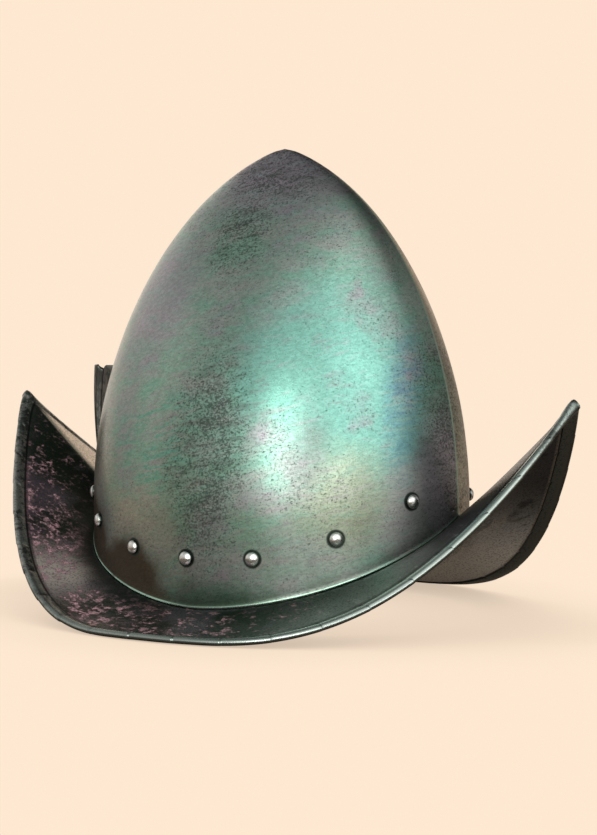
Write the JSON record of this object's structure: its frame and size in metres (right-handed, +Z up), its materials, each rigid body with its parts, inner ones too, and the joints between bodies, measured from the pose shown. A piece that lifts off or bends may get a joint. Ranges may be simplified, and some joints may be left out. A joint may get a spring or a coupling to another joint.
{
  "type": "morion helmet",
  "caption": "Tall pointed skull of sheet steel on a boat-shaped brim with upswept peaks, a row of domed rivets and a plume holder on the rear ridge.",
  "frame": {"origin": "on the surface the helmet rests on, midway between the tips of the peaks and midway across", "axes": "+X towards the front peak, +Y the wearer's left, +Z up"},
  "size_m": [0.3665, 0.2752, 0.2626],
  "materials": {
    "skull_steel": "satin, with a thin blue-green patina",
    "brim_steel": "satin, darkened",
    "holder_steel": "satin, darkened",
    "rivet_steel": "bright, lightly worn"
  },
  "bodies": {
    "root": {"skull": "skull_steel", "brim": "brim_steel", "plume_holder": "holder_steel", "rivet_01": "rivet_steel", "rivet_02": "rivet_steel", "rivet_03": "rivet_steel", "rivet_04": "rivet_steel", "rivet_05": "rivet_steel", "rivet_06": "rivet_steel", "rivet_07": "rivet_steel", "rivet_08": "rivet_steel", "rivet_09": "rivet_steel", "rivet_10": "rivet_steel", "rivet_11": "rivet_steel", "rivet_12": "rivet_steel", "rivet_13": "rivet_steel", "rivet_14": "rivet_steel", "plume_rivet_lower": "rivet_steel", "plume_rivet_upper": "rivet_steel"}
  },
  "joints": []
}
